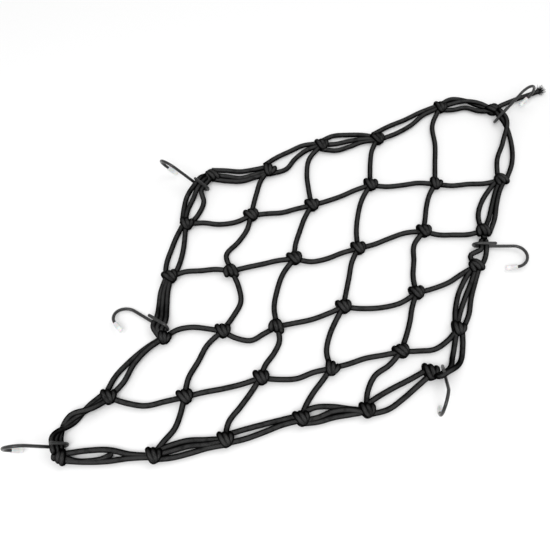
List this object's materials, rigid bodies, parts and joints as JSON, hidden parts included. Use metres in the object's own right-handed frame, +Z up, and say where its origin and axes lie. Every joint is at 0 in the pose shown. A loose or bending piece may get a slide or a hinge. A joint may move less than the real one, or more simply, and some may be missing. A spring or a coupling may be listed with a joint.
{
  "type": "cargo net",
  "caption": "Flat knotted net of black elastic cord with a doubled rim, a loose cord end and wire hooks with plastic tip caps, lying on the floor.",
  "frame": {"origin": "on the floor, under the middle of the bounding box", "axes": "+X along the net's width to the loose end's side, +Y away from the viewer, +Z up"},
  "size_m": [0.4855, 0.3995, 0.0327],
  "materials": {
    "cord": "braided black polyester over a rubber core",
    "wire": "black coating, satin",
    "cap": "milky clear, soft gloss"
  },
  "bodies": {
    "root": {"net": "cord", "hook_far_left": "wire", "hook_far_right": "wire", "hook_left": "wire", "hook_right": "wire", "hook_near_left": "wire", "hook_near_right": "wire", "cap_far_left": "cap", "cap_far_right": "cap", "cap_left": "cap", "cap_right": "cap", "cap_near_left": "cap", "cap_near_right": "cap"}
  },
  "joints": []
}
